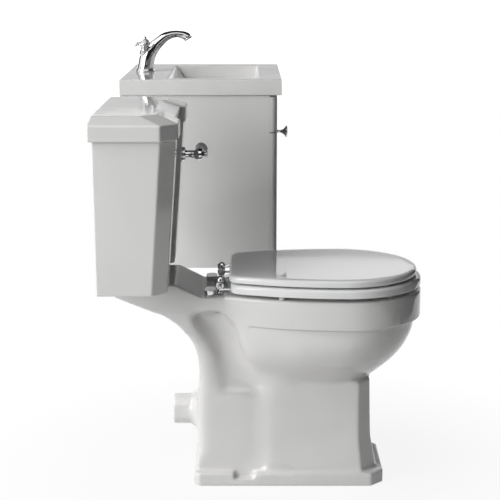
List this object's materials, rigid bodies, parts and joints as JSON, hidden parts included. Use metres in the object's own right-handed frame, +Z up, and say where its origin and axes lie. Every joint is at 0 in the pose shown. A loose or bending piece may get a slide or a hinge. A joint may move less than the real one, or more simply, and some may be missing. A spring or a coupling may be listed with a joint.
{
  "type": "toilet and vanity suite",
  "caption": "Close-coupled toilet with hinged seat and lid and a lever cistern, beside a wall-hung drawer vanity with a basin and a cross-handle mixer tap.",
  "frame": {"origin": "middle of the pan's foot, on the floor", "axes": "+X out of the wall to the toilet's front, +Y from the toilet towards the vanity, +Z up"},
  "size_m": [0.6739, 1.1564, 0.9128],
  "materials": {
    "ceramic": "gloss glaze",
    "seat": "gloss",
    "chrome": "polished",
    "lacquer": "gloss lacquer",
    "board": "satin",
    "steel": "satin",
    "brass": "plain",
    "valve_plastic": "moulded",
    "rubber": "soft"
  },
  "bodies": {
    "root": {"toilet_pan": "ceramic", "cistern_tank": "ceramic", "cistern_lid": "ceramic", "lever_flange": "chrome", "lever_nut": "brass", "flush_valve_body": "valve_plastic", "flush_back_nut": "valve_plastic", "coupling_gasket": "rubber", "coupling_bolts": "steel", "coupling_washers": "rubber", "coupling_nuts": "brass", "fill_valve": "valve_plastic", "fill_valve_nut": "valve_plastic", "hinge_bases": "chrome", "hinge_posts": "chrome", "hinge_pins": "chrome", "hinge_nuts": "brass", "basin": "ceramic", "basin_waste": "chrome", "waste_nut": "valve_plastic", "bottle_trap": "valve_plastic", "trap_outlet_pipe": "valve_plastic", "trap_nuts": "valve_plastic", "tap_body": "chrome", "tap_nut": "brass", "spout_nozzle": "chrome", "cabinet_sides": "lacquer", "cabinet_bottom": "board", "hanging_rail": "board", "wall_plates": "steel", "cabinet_rails": "board", "fascia": "lacquer", "fixed_runners": "steel"},
    "seat": {"seat_ring": "seat", "seat_straps": "chrome", "seat_strap_screws": "steel", "seat_buffers": "rubber"},
    "seat_cover": {"seat_lid": "seat", "lid_straps": "chrome", "lid_strap_screws": "steel", "lid_buffers": "rubber"},
    "lever": {"flush_lever": "chrome", "lever_ball": "ceramic", "trip_arm": "brass"},
    "flush_lift": {"plunger_seal": "rubber", "flush_plunger": "valve_plastic", "lift_rod": "brass"},
    "float": {"float_cup": "valve_plastic"},
    "drawer": {"drawer_front": "lacquer", "drawer_sides": "board", "drawer_back": "board", "drawer_bottom": "board", "moving_runners": "steel", "drawer_knob": "chrome", "knob_screw": "steel"},
    "near_handle": {"tap_handle_near": "chrome", "handle_cap_near": "ceramic"},
    "far_handle": {"tap_handle_far": "chrome", "handle_cap_far": "ceramic"},
    "plug": {"waste_plug": "chrome"}
  },
  "joints": [
    {"name": "seat_hinge", "type": "hinge", "parent": "root", "child": "seat", "pos_m": [-0.144, 0, 0.431], "axis": [0, -1, 0], "range_deg": [0, 90]},
    {"name": "lid_hinge", "type": "hinge", "parent": "seat", "child": "seat_cover", "pos_m": [-0.144, 0, 0.431], "axis": [0, 1, 0], "range_deg": [-90, 0]},
    {"name": "lever_turn", "type": "hinge", "parent": "root", "child": "lever", "pos_m": [-0.2322, 0.15, 0.671], "axis": [-1, 0, 0], "range_deg": [0, 18], "stiffness_Nm_per_rad": 0.4, "springref_deg": -8.59},
    {"name": "flush_lift", "type": "slide", "parent": "root", "child": "flush_lift", "axis": [0, 0, 1], "range_m": [0, 0.048]},
    {"name": "float_slide", "type": "slide", "parent": "root", "child": "float", "axis": [0, 0, 1], "range_m": [0, 0.1]},
    {"name": "drawer_slide", "type": "slide", "parent": "root", "child": "drawer", "axis": [1, 0, 0], "range_m": [0, 0.3]},
    {"name": "near_handle_turn", "type": "hinge", "parent": "root", "child": "near_handle", "pos_m": [-0.35, 0.6814, 0.8506], "axis": [0, -0.6428, 0.766], "range_deg": [0, 90]},
    {"name": "far_handle_turn", "type": "hinge", "parent": "root", "child": "far_handle", "pos_m": [-0.35, 0.6814, 0.8506], "axis": [0, 0.6428, 0.766], "range_deg": [0, 90]},
    {"name": "plug_lift", "type": "slide", "parent": "root", "child": "plug", "axis": [0, 0, 1], "range_m": [0, 0.008]}
  ],
  "couplings": [
    {"joint": "flush_lift", "follows": "lever_turn", "m_per_rad": 0.15}
  ]
}
